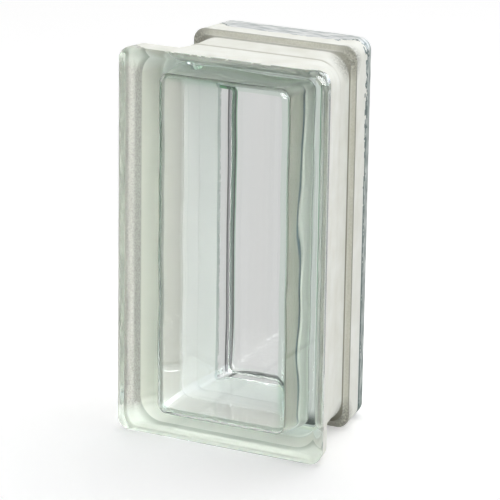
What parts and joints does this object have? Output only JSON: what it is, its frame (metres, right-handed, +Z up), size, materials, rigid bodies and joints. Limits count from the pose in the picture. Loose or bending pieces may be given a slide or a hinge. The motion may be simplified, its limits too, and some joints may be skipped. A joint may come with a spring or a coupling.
{
  "type": "glass block",
  "caption": "Hollow pressed-glass building block, tapered in plan for curved walls, with clear panes and a recessed, white-coated mortar channel around its edge.",
  "frame": {"origin": "centre of the overall box at floor level, under the flange rims the block stands on", "axes": "+Z up along the height, +X across the width, -Y out of the wide front face, +Y out of the narrow rear face"},
  "size_m": [0.1094, 0.08, 0.19],
  "materials": {
    "clear_glass": "clear fire-polished soda-lime glass, faintly green, with an opaque white coating in the mortar channel"
  },
  "bodies": {
    "root": {"glass_block": "clear_glass"}
  },
  "joints": []
}
